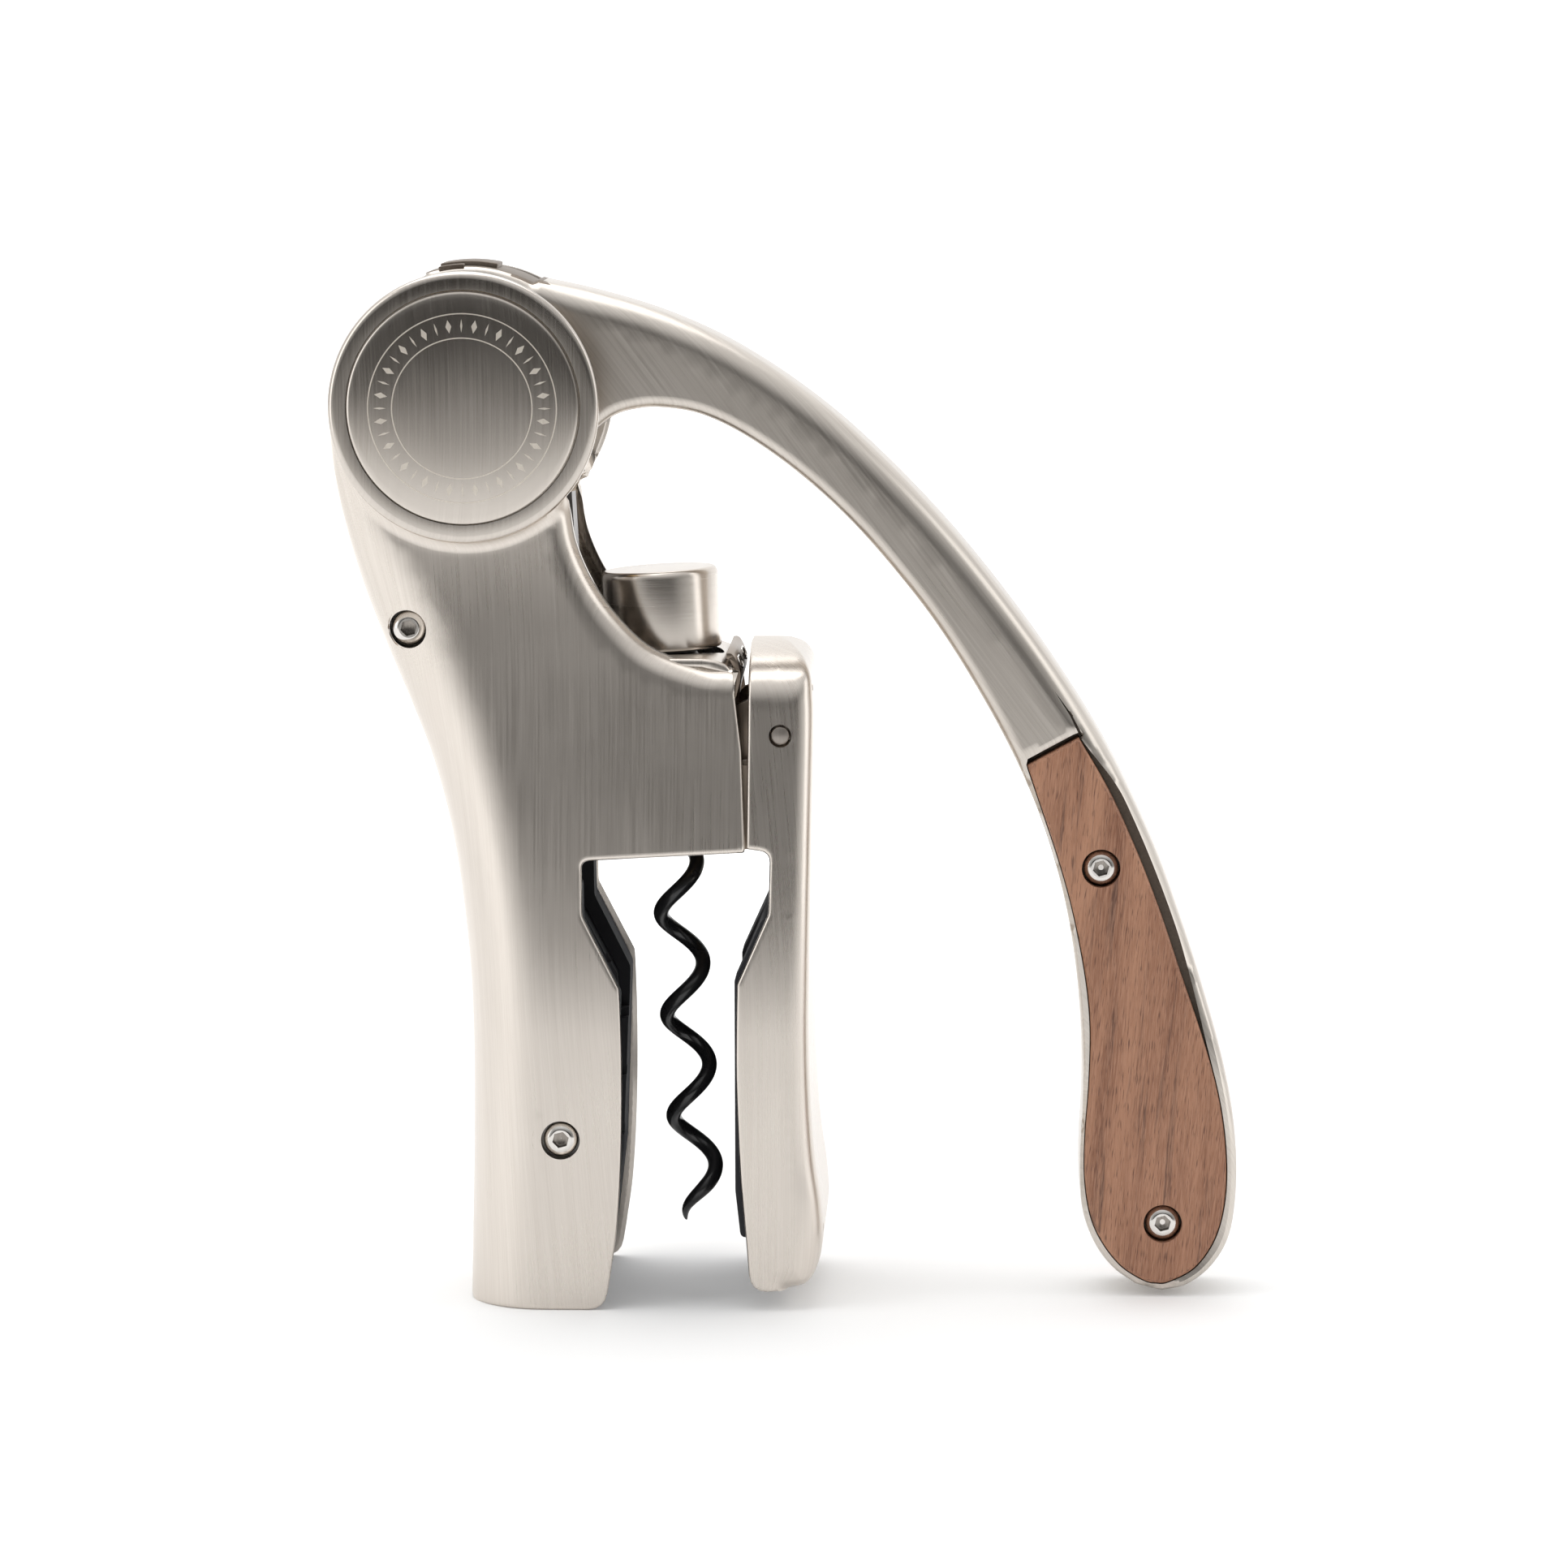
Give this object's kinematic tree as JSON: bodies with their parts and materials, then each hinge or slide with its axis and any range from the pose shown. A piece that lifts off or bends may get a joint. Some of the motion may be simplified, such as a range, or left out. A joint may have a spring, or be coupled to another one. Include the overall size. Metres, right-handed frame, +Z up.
{
  "type": "lever corkscrew",
  "caption": "Lever corkscrew with a round pivot head, a long curved lever with wood scales, a geared worm carriage and a sprung grip that clamps the bottle neck.",
  "frame": {"origin": "bottom centre of the bounding box, on the surface the tool stands on", "axes": "+X from the pivot head towards the lever tip, -Y the near side, +Z up"},
  "size_m": [0.152, 0.046, 0.1747],
  "materials": {
    "satin_nickel": "brushed along the height, satin",
    "bright_nickel": "finely brushed, bright edges",
    "lever_nickel": "brushed along the lever, satin",
    "dark_steel": "machined, slightly oiled",
    "bush_brass": "turned",
    "grey_plastic": "fine moulded texture",
    "walnut": "oiled, open pores",
    "black_coating": "smooth non-stick coating with a soft shine"
  },
  "bodies": {
    "frame_body": {"body_shell_near": "satin_nickel", "body_shell_far": "satin_nickel", "pivot_ring_near": "bright_nickel", "pivot_ring_far": "bright_nickel", "pivot_cap_near": "satin_nickel", "pivot_cap_far": "satin_nickel", "hub_bush_near": "bush_brass", "hub_bush_far": "bush_brass", "leg_liner_near": "grey_plastic", "leg_liner_far": "grey_plastic", "main_axle": "dark_steel", "guide_block": "grey_plastic", "worm_guide_bush": "bush_brass", "hinge_bracket": "dark_steel", "body_sleeve_upper": "dark_steel", "body_sleeve_lower": "dark_steel", "body_screw_upper": "bright_nickel", "body_screw_lower": "bright_nickel", "body_nut_upper": "bright_nickel", "body_nut_lower": "bright_nickel", "grip_pin": "dark_steel", "grip_spring": "dark_steel"},
    "lever": {"lever_frame": "lever_nickel", "pinion": "dark_steel", "wood_scale_near": "walnut", "wood_scale_far": "walnut", "handle_screw_upper": "bright_nickel", "handle_screw_lower": "bright_nickel", "handle_nut_upper": "bright_nickel", "handle_nut_lower": "bright_nickel"},
    "carriage": {"rack": "dark_steel", "carriage_barrel": "dark_steel", "carriage_cap": "satin_nickel", "worm_collar": "dark_steel"},
    "worm": {"worm": "black_coating"},
    "grip": {"grip_shell": "satin_nickel", "grip_liner": "grey_plastic"}
  },
  "joints": [
    {"name": "lever_swing", "type": "hinge", "parent": "frame_body", "child": "lever", "pos_m": [-0.0535, 0, 0.151], "axis": [0, -1, 0], "range_deg": [0, 170]},
    {"name": "carriage_slide", "type": "slide", "parent": "frame_body", "child": "carriage", "axis": [-0.0593, 0, 0.9982], "range_m": [0, 0.0379]},
    {"name": "worm_turn", "type": "hinge", "parent": "carriage", "child": "worm", "pos_m": [-0.02395, 0, 0.15276], "axis": [-0.0593, 0, 0.9982], "range_deg": [0, 780]},
    {"name": "grip_swing", "type": "hinge", "parent": "frame_body", "child": "grip", "pos_m": [-0.0011, 0, 0.0966], "axis": [0, -1, 0], "range_deg": [0, 7], "stiffness_Nm_per_rad": 0.5, "springref_deg": -11.46}
  ],
  "couplings": [
    {"joint": "carriage_slide", "follows": "lever_swing", "m_per_rad": 0.01275},
    {"joint": "worm_turn", "follows": "lever_swing", "ratio": 4.5777}
  ]
}
